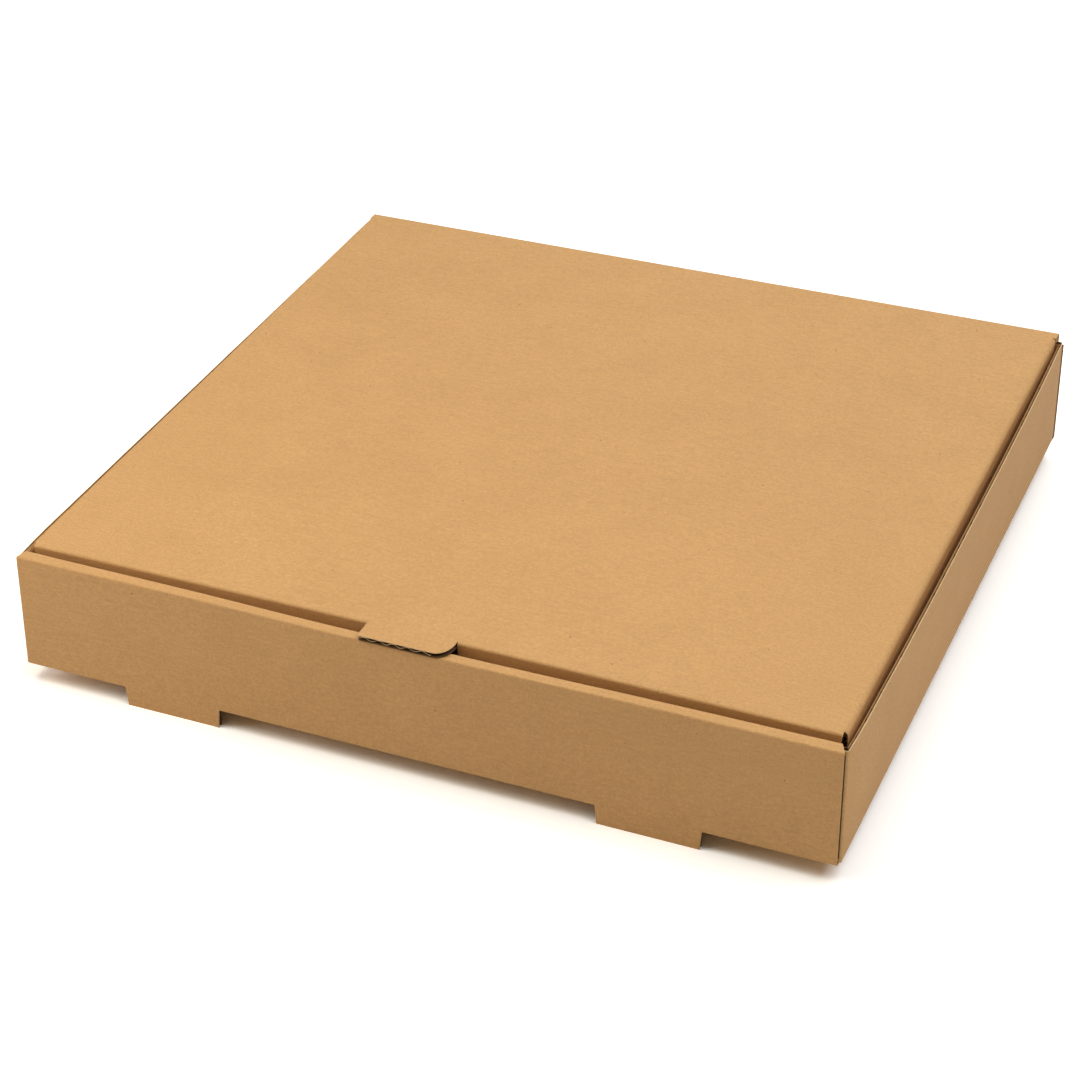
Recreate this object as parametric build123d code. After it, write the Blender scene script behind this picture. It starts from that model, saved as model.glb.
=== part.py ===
from build123d import *
import os

# Pizza box folded from one die-cut sheet of corrugated board, shown closed.
# All sizes are in millimetres. While it is drawn, X runs along the front wall,
# Y from the front face to the rear face, and Z up from the underside of the bottom panel.

# Corrugated board
board = 2.5
liner = 0.35
flute_pitch = 6.5
flute_depth = 2.0
flute_base_share = 0.75
flute_crest_share = 0.14
flute_height_share = 0.84
flute_round_share = 0.08
groove_depth = 1.0

# Folds
layer_gap = 0.15
fold_radius = 1.6
lid_fold_radius = 2.0
foot_corner_radius = 1.5
overrun = 1.0

# Tray walls
tray_width = 362.0
tray_depth = 347.5
front_height = 53.7
side_height = 53.0
side_lean = 0.9
side_bow = 1.8
corner_flap_length = 72.0
corner_flap_height = 50.6
corner_flap_taper = 7.0
roll_end_inset = 3.8
roll_end_land = 0.8

# Feet and lock tabs along the front crease
left_foot_offset = 48.0
right_foot_offset = 55.7
foot_width = 45.0
foot_taper = 0.8
lock_slack = 0.9
lock_side_slack = 0.8

# Lid
tab_clearance = 0.2
lid_front_gap = 1.3
lid_side_inset = 2.6
lid_flap_depth = 42.0
lid_front_lean = 3.2
lid_side_lean = 3.0
lid_front_flap_taper = 8.0
lid_side_flap_taper = 9.0
lid_flap_end_gap = 1.2
crease_gap = 0.1

# Thumb tab
tab_width = 39.0
tab_offset = 2.0
tab_overhang = 1.6
tab_round = 9.0
tab_chamfer = 0.9
tab_kerf = 0.3

# Sizes that follow
half_width = tray_width / 2
core = board - 2 * liner
half_flute = flute_pitch / 2
flute_base = flute_pitch * flute_base_share
roll_depth = 3 * board + 2 * layer_gap
layer_floor = board + layer_gap
foot_drop = roll_depth + lock_slack
lid_level = front_height + tab_clearance + board
lid_half = half_width - lid_side_inset
lid_front = roll_depth + lid_front_gap
flap_front = board + layer_gap
flap_rear = tray_depth - board - layer_gap
left_foot_centre = left_foot_offset + foot_width / 2 - half_width
right_foot_centre = half_width - right_foot_offset - foot_width / 2
foot_centres = [left_foot_centre, right_foot_centre]
side_flap_front = lid_front + board + layer_gap
side_flap_rear = flap_rear - board - lid_flap_end_gap
tab_length = lid_front + tab_overhang


def block(x_low, x_high, y_low, y_high, z_low, z_high):
    """A rectangular block between two corners."""
    size = (x_high - x_low, y_high - y_low, z_high - z_low)
    centre = ((x_low + x_high) / 2, (y_low + y_high) / 2, (z_low + z_high) / 2)
    return Pos(*centre) * Box(*size)


def both_sides(solid):
    """The solid and its mirror image across the middle of the box."""
    return solid + mirror(solid, Plane.YZ)


def outline_face(plane, points):
    """A flat face with straight sides, drawn in one of the main planes."""
    return make_face(plane * Polyline(*points, close=True))


def run_along(axis, face, low, high):
    """The face pushed along an axis, from one place on it to another."""
    return Location(axis.direction * low) * extrude(face, amount=high - low, dir=axis.direction)


def round_corners(face, corners, radius):
    """Round the corners of a flat face that lie at the given points."""
    chosen = [v for v in face.vertices() if any((v.center() - c).length < liner for c in corners)]
    return fillet(chosen, radius)


def in_yz(*pairs):
    """Places in the plane of the folded strip, each from its Y and its Z."""
    return [Vector(0, y, z) for y, z in pairs]


def crease_side(of_lid):
    """All that lies on the lid's side, or on the rear wall's side, of the crease between them."""
    y_corner = tray_depth - (0 if of_lid else crease_gap)
    z_corner = lid_level - (crease_gap if of_lid else 0)
    high = (y_corner + overrun, z_corner + overrun)
    low = (y_corner - lid_level, z_corner - lid_level)
    side = (low[0], high[1]) if of_lid else (high[0], low[1])
    face = outline_face(Plane.YZ, [high, low, side])
    return run_along(Axis.X, face, -half_width - overrun, half_width + overrun)


# Tray


def folded_strip():
    """Rear wall, bottom panel, front wall, roll-over top and inner front wall as one strip."""
    stub = tray_depth - 2 * fold_radius - board
    outline = [
        (tray_depth, 0), (0, 0), (0, front_height),
        (roll_depth, front_height), (roll_depth, layer_floor), (roll_depth - board, layer_floor),
        (roll_depth - board, front_height - board), (board, front_height - board), (board, board),
        (tray_depth - board, board), (tray_depth - board, lid_level - board),
        (stub, lid_level - board), (stub, lid_level), (tray_depth, lid_level),
    ]
    face = outline_face(Plane.YZ, outline)
    outer = [outline[0], outline[1], outline[2], outline[3], outline[-1]]
    face = round_corners(face, in_yz(*outer), fold_radius)
    strip = run_along(Axis.X, face, -half_width, half_width)
    above = block(-half_width - overrun, half_width + overrun, stub - overrun,
                  tray_depth + overrun, lid_level - 2 * board, lid_level + overrun)
    return strip - (above & crease_side(of_lid=True))


def roll_end_cuts():
    """What is trimmed off one end of the roll so that it drops in between the side walls."""
    inner = half_width - roll_end_inset
    behind = board + layer_gap / 2
    trim = block(inner, half_width + overrun, behind, roll_depth + overrun,
                 layer_floor - layer_gap / 2, front_height + overrun)
    wedge_points = [(half_width + overrun, roll_end_land), (half_width, roll_end_land),
                    (inner, behind), (half_width + overrun, behind)]
    wedge_face = outline_face(Plane.XY, wedge_points)
    return trim + run_along(Axis.Z, wedge_face, front_height - board, front_height + overrun)


def bowed_line(x, y_low, y_high, bow):
    """An edge that runs front to rear, straight or pushed outwards in its middle."""
    ends = [(x, y_low), (x, y_high)]
    if not bow:
        return Line(*ends)
    return ThreePointArc(ends[0], (x + bow, (y_low + y_high) / 2), ends[1])


def side_section(level, lean, bow):
    """Plan section of a side wall and its two corner flaps, at one height."""
    outer = half_width + lean
    inner = outer - board
    flap_end = half_width - corner_flap_length
    edges = [
        Line((flap_end, flap_front), (outer, flap_front)),
        bowed_line(outer, flap_front, flap_rear, bow),
        Line((outer, flap_rear), (flap_end, flap_rear)),
        Line((flap_end, flap_rear), (flap_end, flap_rear - board)),
        Line((flap_end, flap_rear - board), (inner, flap_rear - board)),
        bowed_line(inner, flap_front + board, flap_rear - board, bow),
        Line((inner, flap_front + board), (flap_end, flap_front + board)),
        Line((flap_end, flap_front + board), (flap_end, flap_front)),
    ]
    corners = [Vector(outer, flap_front, 0), Vector(outer, flap_rear, 0)]
    face = round_corners(make_face(edges), corners, fold_radius)
    return Pos(0, 0, level) * face


def side_top_groove():
    """The open channel between the two liners along the top edge of a side wall."""
    outer = half_width + side_lean - liner
    inner = outer - core
    front = flap_front + fold_radius
    rear = flap_rear - fold_radius
    edges = [
        bowed_line(outer, front, rear, side_bow),
        Line((outer, rear), (inner, rear)),
        bowed_line(inner, front, rear, side_bow),
        Line((inner, front), (outer, front)),
    ]
    return run_along(Axis.Z, make_face(edges), side_height - groove_depth, side_height + overrun)


def flap_end_taper(toward_rear):
    """The slanted piece cut off the free end of a corner flap."""
    end = half_width - corner_flap_length
    points = [(end - overrun, layer_floor), (end, layer_floor),
              (end + corner_flap_taper, corner_flap_height + overrun),
              (end - overrun, corner_flap_height + overrun)]
    start = flap_rear - board if toward_rear else flap_front
    face = outline_face(Plane.XZ, points)
    return run_along(Axis.Y, face, start - layer_gap, start + board + layer_gap)


def side_wall():
    """Right side wall, leaning and bowed outwards, with its front and rear corner flaps."""
    bottom = side_section(fold_radius, 0, 0)
    top = side_section(side_height, side_lean, side_bow)
    wall = loft([bottom, top], ruled=True) + run_along(Axis.Z, side_section(0, 0, 0), 0, fold_radius)
    inner = half_width - board
    end = half_width - corner_flap_length - overrun
    low = block(end, inner, 0, tray_depth, -overrun, layer_floor)
    high = block(end, inner, 0, tray_depth, corner_flap_height, side_height + overrun)
    wall = wall - low - high - side_top_groove()
    return wall - flap_end_taper(toward_rear=False) - flap_end_taper(toward_rear=True)


def side_crease_round():
    """The corner taken off the outside of the crease between bottom panel and side wall."""
    start = half_width - fold_radius
    length = flap_rear - flap_front
    square = block(start, half_width + overrun, flap_front, flap_rear, -overrun, fold_radius)
    bend = Pos(start, flap_front + length / 2, fold_radius)
    return square - bend * Rot(90, 0, 0) * Cylinder(fold_radius, length + 2 * overrun)


def flute_row(count):
    """A row of open flutes along X, going back along Y, centred in the board's thickness."""
    base = flute_base / 2
    crest = flute_pitch * flute_crest_share / 2
    rise = core * flute_height_share
    points = [(-base, core / 2), (base, core / 2), (crest, core / 2 - rise), (-crest, core / 2 - rise)]
    face = outline_face(Plane.XZ, points)
    tips = [Vector(x, 0, z) for x, z in points[2:]]
    face = round_corners(face, tips, flute_pitch * flute_round_share)
    under = run_along(Axis.Y, face, -overrun, flute_depth)
    over = Rot(0, 180, 0) * under
    first = -(count - 1) * half_flute / 2
    places = [Pos(first + i * half_flute, 0, 0) for i in range(count)]
    return [place * (over if i % 2 else under) for i, place in enumerate(places)]


def flute_count(length):
    """How many open flutes, each half a pitch from the next, fit whole along a cut edge."""
    return int((length - flute_base) / half_flute) + 1


def foot(centre):
    """A foot: the part of the bottom panel that stays in the plane of the front wall."""
    half = foot_width / 2
    points = [(-half, board + fold_radius), (half, board + fold_radius), (half, 0),
              (half - foot_taper, -foot_drop), (-half + foot_taper, -foot_drop), (-half, 0)]
    face = outline_face(Plane.XZ, points)
    low = [Vector(x, 0, z) for x, z in points[3:5]]
    face = round_corners(face, low, foot_corner_radius)
    plate = Pos(centre, 0, 0) * run_along(Axis.Y, face, 0, board)
    row = flute_row(flute_count(foot_width - 2 * foot_taper - 2 * foot_corner_radius))
    turned = Pos(centre, board / 2, -foot_drop) * Rot(90, 0, 0)
    for pocket in row:
        plate -= turned * pocket
    return plate


def foot_window(centre):
    """The opening that the foot leaves in the bottom panel and its crease."""
    half = foot_width / 2
    return block(centre - half, centre + half, -overrun, foot_drop, -overrun, layer_floor - layer_gap / 2)


def lock_tab(centre):
    """A tab on the lower edge of the inner front wall that drops into a foot's opening."""
    half = foot_width / 2 - lock_side_slack
    return block(centre - half, centre + half, roll_depth - board, roll_depth, 0, layer_floor + board)


def tray():
    """The base of the box with all its walls."""
    strip = folded_strip() - both_sides(roll_end_cuts())
    body = strip + both_sides(side_wall())
    body -= both_sides(side_crease_round())
    for centre in foot_centres:
        body -= foot_window(centre)
    for centre in foot_centres:
        body += foot(centre)
        body += lock_tab(centre)
    return body


# Lid


def open_hem(start, low):
    """Lower cut edge of a flap, from liner to liner, with the open channel between them."""
    first, last = start + liner, start + board - liner
    roof = low + groove_depth
    return [(start, low), (first, low), (first, roof), (last, roof), (last, low), (start + board, low)]


def lid_strip():
    """Lid panel and front flap as one strip, folded down at the front."""
    stub = lid_level - 2 * board
    outline = [
        (tray_depth, lid_level), (lid_front, lid_level),
        *open_hem(lid_front + lid_front_lean, lid_level - lid_flap_depth),
        (lid_front + board, lid_level - board), (tray_depth - board, lid_level - board),
        (tray_depth - board, stub), (tray_depth, stub),
    ]
    face = outline_face(Plane.YZ, outline)
    face = round_corners(face, in_yz(outline[1]), lid_fold_radius)
    face = round_corners(face, in_yz(outline[0]), fold_radius)
    strip = run_along(Axis.X, face, -lid_half, lid_half)
    near_crease = block(-half_width, half_width, tray_depth - 2 * board, tray_depth + overrun,
                        stub - overrun, lid_level + overrun)
    return strip - (near_crease & crease_side(of_lid=False))


def front_flap_taper():
    """The slanted piece cut off one end of the lid's front flap."""
    top = lid_level - lid_fold_radius
    low = lid_level - lid_flap_depth
    points = [(lid_half, top), (lid_half + overrun, top), (lid_half + overrun, low - overrun),
              (lid_half - lid_front_flap_taper, low - overrun)]
    face = outline_face(Plane.XZ, points)
    return run_along(Axis.Y, face, lid_front - overrun, lid_front + lid_front_lean + board + overrun)


def lid_side_flap():
    """The lid's right side flap, folded down inside the side wall."""
    low = lid_level - lid_flap_depth
    inner = lid_half - board
    outline = [
        (lid_half, lid_level), *reversed(open_hem(inner - lid_side_lean, low)),
        (inner, lid_level - board), (inner - board, lid_level - board), (inner - board, lid_level),
    ]
    face = outline_face(Plane.XZ, outline)
    face = round_corners(face, [Vector(lid_half, 0, lid_level)], fold_radius)
    front, rear = side_flap_front, side_flap_rear
    flap = run_along(Axis.Y, face, front, rear)
    under = lid_level - board
    ends = [(front, under), (rear, under), (rear - lid_side_flap_taper, low - overrun),
            (front + lid_side_flap_taper, low - overrun)]
    keep = run_along(Axis.X, outline_face(Plane.YZ, ends), 0, half_width)
    keep += block(0, half_width, front, rear, under, lid_level + overrun)
    return flap & keep


def side_flap_seat():
    """The margin of the lid panel that the folded side flap takes the place of."""
    return block(lid_half - board, lid_half + overrun, side_flap_front, side_flap_rear,
                 lid_level - board - overrun, lid_level + overrun)


def tab_outline():
    """Plan outline of the thumb tab, from its root in the panel to its front edge."""
    left = -tab_offset - tab_width / 2
    right = left + tab_width
    back = lid_front + lid_fold_radius
    points = [(left, back), (right, back), (right, -tab_overhang),
              (left + tab_chamfer, -tab_overhang), (left, tab_chamfer - tab_overhang)]
    face = outline_face(Plane.XY, points)
    return round_corners(face, [Vector(*points[2])], tab_round)


def tab_window():
    """What the tab leaves open in the fold and in the front flap below it."""
    centre = -tab_offset
    half = tab_width / 2 + tab_kerf
    fold = block(centre - half, centre + half, lid_front - overrun, lid_front + lid_fold_radius,
                 lid_level - board - tab_kerf, lid_level + overrun)
    low = lid_level - tab_length
    top = lid_level - board
    points = [(centre - half, top), (centre + half, top), (centre + half, low), (centre - half, low)]
    face = outline_face(Plane.XZ, points)
    face = round_corners(face, [Vector(centre + half, 0, low)], tab_round / 2)
    back = lid_front + lid_front_lean + board + overrun
    return fold + run_along(Axis.Y, face, lid_front - overrun, back)


def thumb_tab():
    """The tab that stays flat in the lid's plane and reaches over the roll, with its open flutes."""
    plate = run_along(Axis.Z, tab_outline(), lid_level - board, lid_level)
    flat = tab_width - tab_round - tab_chamfer
    middle = -tab_offset - tab_width / 2 + tab_chamfer + flat / 2
    place = Pos(middle, -tab_overhang, lid_level - board / 2)
    for pocket in flute_row(flute_count(flat)):
        plate -= place * pocket
    return plate


def lid():
    """The hinged cover with its three tucked flaps and its thumb tab."""
    body = lid_strip() - both_sides(front_flap_taper()) - both_sides(side_flap_seat())
    body += both_sides(lid_side_flap())
    body -= tab_window()
    return body + thumb_tab()


# Both pieces are moved to stand on the feet, with the origin under the middle of the whole box.
place = Pos(0, (tab_overhang - tray_depth) / 2, foot_drop)
nodes = {"tray": tray(), "lid": lid()}

os.makedirs("parts", exist_ok=True)
for name, solid in nodes.items():
    export_step(place * solid, f"parts/{name}.step")
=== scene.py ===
"""Kraft pizza box: the folded board, its finishes, the floor, the light and the camera.

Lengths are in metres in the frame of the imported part. X runs along the front wall,
Y from the front wall to the hinge crease, and Z up from the floor.
"""
import logging
import math
from dataclasses import dataclass, replace
from enum import Enum
from typing import Callable, Sequence

import bmesh
import bpy
from bmesh.types import BMEdge, BMesh, BMFace, BMVert
from bpy.types import Material, Mesh, Node, NodeSocket, Object
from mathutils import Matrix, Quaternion, Vector, noise


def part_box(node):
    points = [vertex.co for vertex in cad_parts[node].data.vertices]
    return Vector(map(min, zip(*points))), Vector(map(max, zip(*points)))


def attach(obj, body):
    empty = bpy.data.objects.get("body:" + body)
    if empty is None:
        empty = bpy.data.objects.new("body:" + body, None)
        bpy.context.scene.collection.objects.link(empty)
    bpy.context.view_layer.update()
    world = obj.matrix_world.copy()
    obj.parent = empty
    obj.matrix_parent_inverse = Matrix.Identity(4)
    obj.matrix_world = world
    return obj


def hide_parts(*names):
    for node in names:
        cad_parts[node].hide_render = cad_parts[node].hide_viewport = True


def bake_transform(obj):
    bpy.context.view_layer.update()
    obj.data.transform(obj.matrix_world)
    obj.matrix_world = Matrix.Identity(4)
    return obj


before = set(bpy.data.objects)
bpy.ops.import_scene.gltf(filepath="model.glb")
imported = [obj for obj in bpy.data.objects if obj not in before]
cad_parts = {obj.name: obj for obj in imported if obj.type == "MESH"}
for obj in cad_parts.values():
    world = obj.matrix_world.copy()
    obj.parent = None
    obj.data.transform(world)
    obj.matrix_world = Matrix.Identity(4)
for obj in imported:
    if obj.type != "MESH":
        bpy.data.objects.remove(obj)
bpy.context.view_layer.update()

TOUCH = 1e-5
SHARP_ANGLE = math.radians(35)
LOG = logging.getLogger("pizza_box")

AXIS_X = Vector((1, 0, 0))
AXIS_Y = Vector((0, 1, 0))
AXIS_Z = Vector((0, 0, 1))


class Surface(Enum):
    """What a face of the board shows, by its place among a piece's materials."""

    LINER = 0
    CUT = 1
    # Third finish: the medium's own brown, darkened much further as painted shade of the flute
    # channels. The liners' faces inside the core and the inner liner's rim also get it.
    MEDIUM = 2


class Side(Enum):
    """A side of the box, by the sign of X on it."""

    LEFT = -1
    RIGHT = 1


# Board and box sizes


@dataclass(frozen=True)
class Ply:
    """One layer of the board.

    Attributes:
        depth: Distance of its outer face below the outer face of the board.
        thickness: Thickness of the layer.
        recess: How far it stops short of a cut edge.
        surface: What its outer face shows.
        back: What its inner face shows.
        rim: What its edges show.
    """

    depth: float
    thickness: float
    recess: float
    surface: Surface
    back: Surface
    rim: Surface


@dataclass(frozen=True)
class Board:
    """Make-up of the corrugated board that the whole box is cut from."""

    thickness: float = 0.0025
    liner: float = 0.00035
    medium: float = 0.0002
    flute_pitch: float = 0.0065
    recess: float = 0.0028
    fold_radius: float = 0.0016
    least_radius: float = 0.0004
    fold_segments: int = 6

    @property
    def core(self) -> float:
        """Room between the two liners."""
        return self.thickness - 2 * self.liner

    def plies(self) -> tuple[Ply, Ply, Ply]:
        """Outer liner, fluted core and inner liner, from the outside in."""
        inner_depth = self.thickness - self.liner
        return (
            # The outer liner's back, the core, the inner liner's face towards the core and its rim
            # show the dark painted shade. The liners' outer faces and the outer rim show their own
            # colours.
            Ply(0.0, self.liner, 0.0, Surface.LINER, Surface.MEDIUM, Surface.CUT),
            Ply(self.liner, self.core, self.recess, Surface.MEDIUM, Surface.MEDIUM, Surface.MEDIUM),
            Ply(inner_depth, self.liner, 0.0, Surface.MEDIUM, Surface.LINER, Surface.MEDIUM),
        )

    def radius_at(self, depth: float, outer: float | None = None) -> float:
        """Radius of a fold at a depth below the board's outer face.

        Args:
            depth: Distance below the board's outer face.
            outer: Radius on the outer face, or None for the board's usual one.

        Returns:
            The radius there, never less than the least one.
        """
        return max((outer or self.fold_radius) - depth, self.least_radius)


@dataclass(frozen=True)
class BoxSizes:
    """Sizes and places that several pieces of the box share."""

    front: float
    rear: float
    ground: float
    lid_top: float
    lid_half: float
    half_width: float = 0.181
    foot_drop: float = 0.0087
    front_height: float = 0.0537
    roll_depth: float = 0.0078
    layer_gap: float = 0.00015
    crease_margin: float = 0.005
    seam_drop: float = 0.006
    left_foot: tuple[float, float] = (-0.133, -0.088)
    right_foot: tuple[float, float] = (0.0803, 0.1253)

    @classmethod
    def from_frame(cls) -> "BoxSizes":
        """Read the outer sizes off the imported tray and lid."""
        tray_low, tray_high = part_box("tray")
        lid_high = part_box("lid")[1]
        return cls(tray_low.y, tray_high.y, tray_low.z, lid_high.z, lid_high.x)

    @property
    def floor(self) -> float:
        """Level of the underside of the bottom panel."""
        return self.ground + self.foot_drop

    @property
    def roll_top(self) -> float:
        """Level of the top of the rolled front wall."""
        return self.floor + self.front_height

    @property
    def feet(self) -> tuple[tuple[float, float], tuple[float, float]]:
        """Both feet, each by its ends along X."""
        return self.left_foot, self.right_foot


# Shaping tools


def score(bm: BMesh, axis: Vector, places: Sequence[float]) -> None:
    """Cut straight lines across every face, so that it can be punched or bent there.

    Args:
        bm: The mesh to cut.
        axis: Direction along which the places are counted.
        places: Where each cut lies on the axis.
    """
    for place in sorted(set(places)):
        geometry = bm.verts[:] + bm.edges[:] + bm.faces[:]
        bmesh.ops.bisect_plane(bm, geom=geometry, dist=TOUCH, plane_co=axis * place, plane_no=axis)


def spaced(low: float, high: float, step: float) -> list[float]:
    """Evenly spaced places between two ends, the ends left out.

    Args:
        low: One end.
        high: The other end.
        step: Greatest distance between two places.

    Returns:
        The places, in order.
    """
    count = math.ceil((high - low) / step)
    return [low + (high - low) * i / count for i in range(1, count)]


def round_corners(bm: BMesh, verts: Sequence[BMVert], radius: float, segments: int) -> None:
    """Round corners of a path or of a sheet's outline.

    Args:
        bm: The mesh that holds them.
        verts: The corners.
        radius: Distance from each corner at which the rounding starts.
        segments: Number of segments in each rounding.
    """
    bmesh.ops.bevel(
        bm, geom=verts, offset=radius, offset_type="OFFSET", affect="VERTICES",
        segments=segments, profile=0.5, material=-1,
    )


def rounded_path(
    bm: BMesh, points: Sequence[Vector], radii: Sequence[float], segments: int
) -> list[BMEdge]:
    """Draw an open path and round its inner corners.

    Args:
        bm: The mesh to draw in.
        points: Corners of the path, from end to end.
        radii: Radius of each inner corner.
        segments: Number of segments in each rounding.

    Returns:
        The edges of the rounded path.
    """
    verts = [bm.verts.new(point) for point in points]
    for pair in zip(verts, verts[1:]):
        bm.edges.new(pair)
    for vert, radius in zip(verts[1:-1], radii):
        round_corners(bm, [vert], radius, segments)
    return [edge for edge in bm.edges if edge.is_wire]


def push(bm: BMesh, edges: Sequence[BMEdge], shift: Vector) -> list[BMVert]:
    """Extrude edges into faces.

    Args:
        bm: The mesh that holds the edges.
        edges: Edges to extrude.
        shift: How far and which way.

    Returns:
        The new vertices at the far side.
    """
    made = bmesh.ops.extrude_edge_only(bm, edges=list(edges))["geom"]
    verts = [item for item in made if isinstance(item, BMVert)]
    bmesh.ops.translate(bm, verts=verts, vec=shift)
    return verts


def punch(bm: BMesh, inside: Callable[[Vector], bool]) -> None:
    """Remove the faces whose middle lies in an opening.

    Args:
        bm: The mesh to punch.
        inside: Says whether a place lies in the opening.
    """
    waste = [face for face in bm.faces if inside(face.calc_center_median())]
    bmesh.ops.delete(bm, geom=waste, context="FACES")


def trim(bm: BMesh, chosen: Callable[[Vector], bool], through: Vector, outwards: Vector) -> None:
    """Cut some faces along a plane and drop what lies beyond it.

    Args:
        bm: The mesh to trim.
        chosen: Says which faces are cut, by their middle.
        through: A place on the plane.
        outwards: Normal of the plane, towards the waste.
    """
    faces = [face for face in bm.faces if chosen(face.calc_center_median())]
    edges = {edge for face in faces for edge in face.edges}
    verts = {vert for face in faces for vert in face.verts}
    geometry = list(verts) + list(edges) + faces
    made = bmesh.ops.bisect_plane(
        bm, geom=geometry, dist=TOUCH, plane_co=through, plane_no=outwards
    )["geom"]
    pieces = [item for item in made if isinstance(item, BMFace)]
    waste = [f for f in pieces if (f.calc_center_median() - through).dot(outwards) > 0]
    bmesh.ops.delete(bm, geom=waste, context="FACES")


def rim_edges(bm: BMesh, chosen: Callable[[Vector], bool]) -> list[BMEdge]:
    """Find the edges of a sheet's rim that lie in some place.

    Args:
        bm: The sheet.
        chosen: Says whether an edge is wanted, by its middle.

    Returns:
        The edges that have one face and lie there.
    """
    rim = [edge for edge in bm.edges if edge.is_boundary]
    return [edge for edge in rim if chosen((edge.verts[0].co + edge.verts[1].co) / 2)]


def round_rim(bm: BMesh, corners: Sequence[Vector], radius: float, segments: int) -> None:
    """Round corners of a sheet's outline.

    Args:
        bm: The sheet.
        corners: Where the corners are.
        radius: Distance from each corner at which the rounding starts.
        segments: Number of segments in each rounding.
    """
    verts = [v for v in bm.verts if any((v.co - c).length < TOUCH * 10 for c in corners)]
    round_corners(bm, verts, radius, segments)


def take_in(bm: BMesh, part: BMesh) -> None:
    """Move a part's geometry into another mesh and free the part.

    Args:
        bm: The mesh that takes it in.
        part: The part.
    """
    carrier = bpy.data.meshes.new("carrier")
    part.to_mesh(carrier)
    part.free()
    bm.from_mesh(carrier)
    bpy.data.meshes.remove(carrier)


def divided_line(start: Vector, end: Vector, step: float) -> BMesh:
    """Draw a straight line that is cut into short stretches.

    Args:
        start: One end.
        end: The other end.
        step: Length of a stretch.

    Returns:
        A new mesh with the line.
    """
    bm = bmesh.new()
    edge = bm.edges.new((bm.verts.new(start), bm.verts.new(end)))
    bmesh.ops.subdivide_edges(bm, edges=[edge], cuts=int((end - start).length / step))
    return bm


def clamped(value: float) -> float:
    """Hold a value between 0 and 1."""
    return min(1.0, max(0.0, value))


def wave_edge(
    whole: BMesh, start: Vector, end: Vector, across: Vector, inwards: Vector,
    board: Board, crush: float = 0.15,
) -> None:
    """Add the wavy medium that shows between the two liners along a cut edge.

    Args:
        whole: The mesh to add it to.
        start: One end of the cut edge, in the middle of the board.
        end: The other end.
        across: Unit normal of the board.
        inwards: Unit direction from the cut edge into the board.
        board: Make-up of the board.
        crush: Share of the wave's height that uneven cutting has pressed flat.
    """
    samples_per_flute, drift, cut_facing = 10, 0.6, -0.7
    patches, fine_patches, drift_patches = 90, 300, 60
    along = (end - start).normalized()
    bm = divided_line(start, end, board.flute_pitch / samples_per_flute)
    height = (board.core - board.medium) / 2
    for vert in bm.verts:
        uneven = noise.noise(vert.co * patches) + noise.noise(vert.co * fine_patches)
        pressed = 1 - crush * (1 + uneven)
        phase = math.tau * (vert.co - start).dot(along) / board.flute_pitch
        phase += drift * noise.noise(vert.co * drift_patches)
        vert.co += across * min(pressed, 1) * height * math.sin(phase)
    push(bm, bm.edges[:], inwards * board.recess)
    bmesh.ops.solidify(bm, geom=bm.faces[:], thickness=board.medium)
    bm.normal_update()
    # Faces that look along the cut take the cut-edge colour; the wave's sides take the dark painted
    # shade of the flute channels.
    for face in bm.faces:
        is_cut = face.normal.dot(inwards) < cut_facing
        face.material_index = (Surface.CUT if is_cut else Surface.MEDIUM).value
    take_in(whole, bm)


def pitted_edge(
    whole: BMesh, start: Vector, end: Vector, across: Vector, inwards: Vector,
    board: Board,
) -> None:
    """Close the channel along an edge that runs with the flutes, but for a few small pits.

    Args:
        whole: The mesh to add it to.
        start: One end of the channel, at its outer liner.
        end: The other end.
        across: Unit direction from the outer liner to the inner one.
        inwards: Unit direction from the cut edge into the board.
        board: Make-up of the board.
    """
    step, shallow, deep = 0.0006, 0.0001, 0.0016
    patches, least, steepness = 260, 0.22, 6
    bm = divided_line(start, end, step)
    for vert in bm.verts:
        pit = clamped((noise.noise(vert.co * patches) - least) * steepness)
        vert.co += inwards * (shallow + (deep - shallow) * pit)
    push(bm, bm.edges[:], across * board.core)
    bmesh.ops.recalc_face_normals(bm, faces=bm.faces[:])
    bm.normal_update()
    bm.faces.ensure_lookup_table()
    if bm.faces[0].normal.dot(inwards) > 0:
        bmesh.ops.reverse_faces(bm, faces=bm.faces[:])
    bmesh.ops.solidify(bm, geom=bm.faces[:], thickness=board.medium)
    # The strip takes the dark painted shade, which stands for the shaded channel behind the edge
    # and its pits.
    for face in bm.faces:
        face.material_index = Surface.MEDIUM.value
    take_in(whole, bm)


def near(value: float, target: float, reach: float = TOUCH * 5) -> bool:
    """Say whether a value is as good as another."""
    return abs(value - target) < reach


# Finishes


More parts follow.
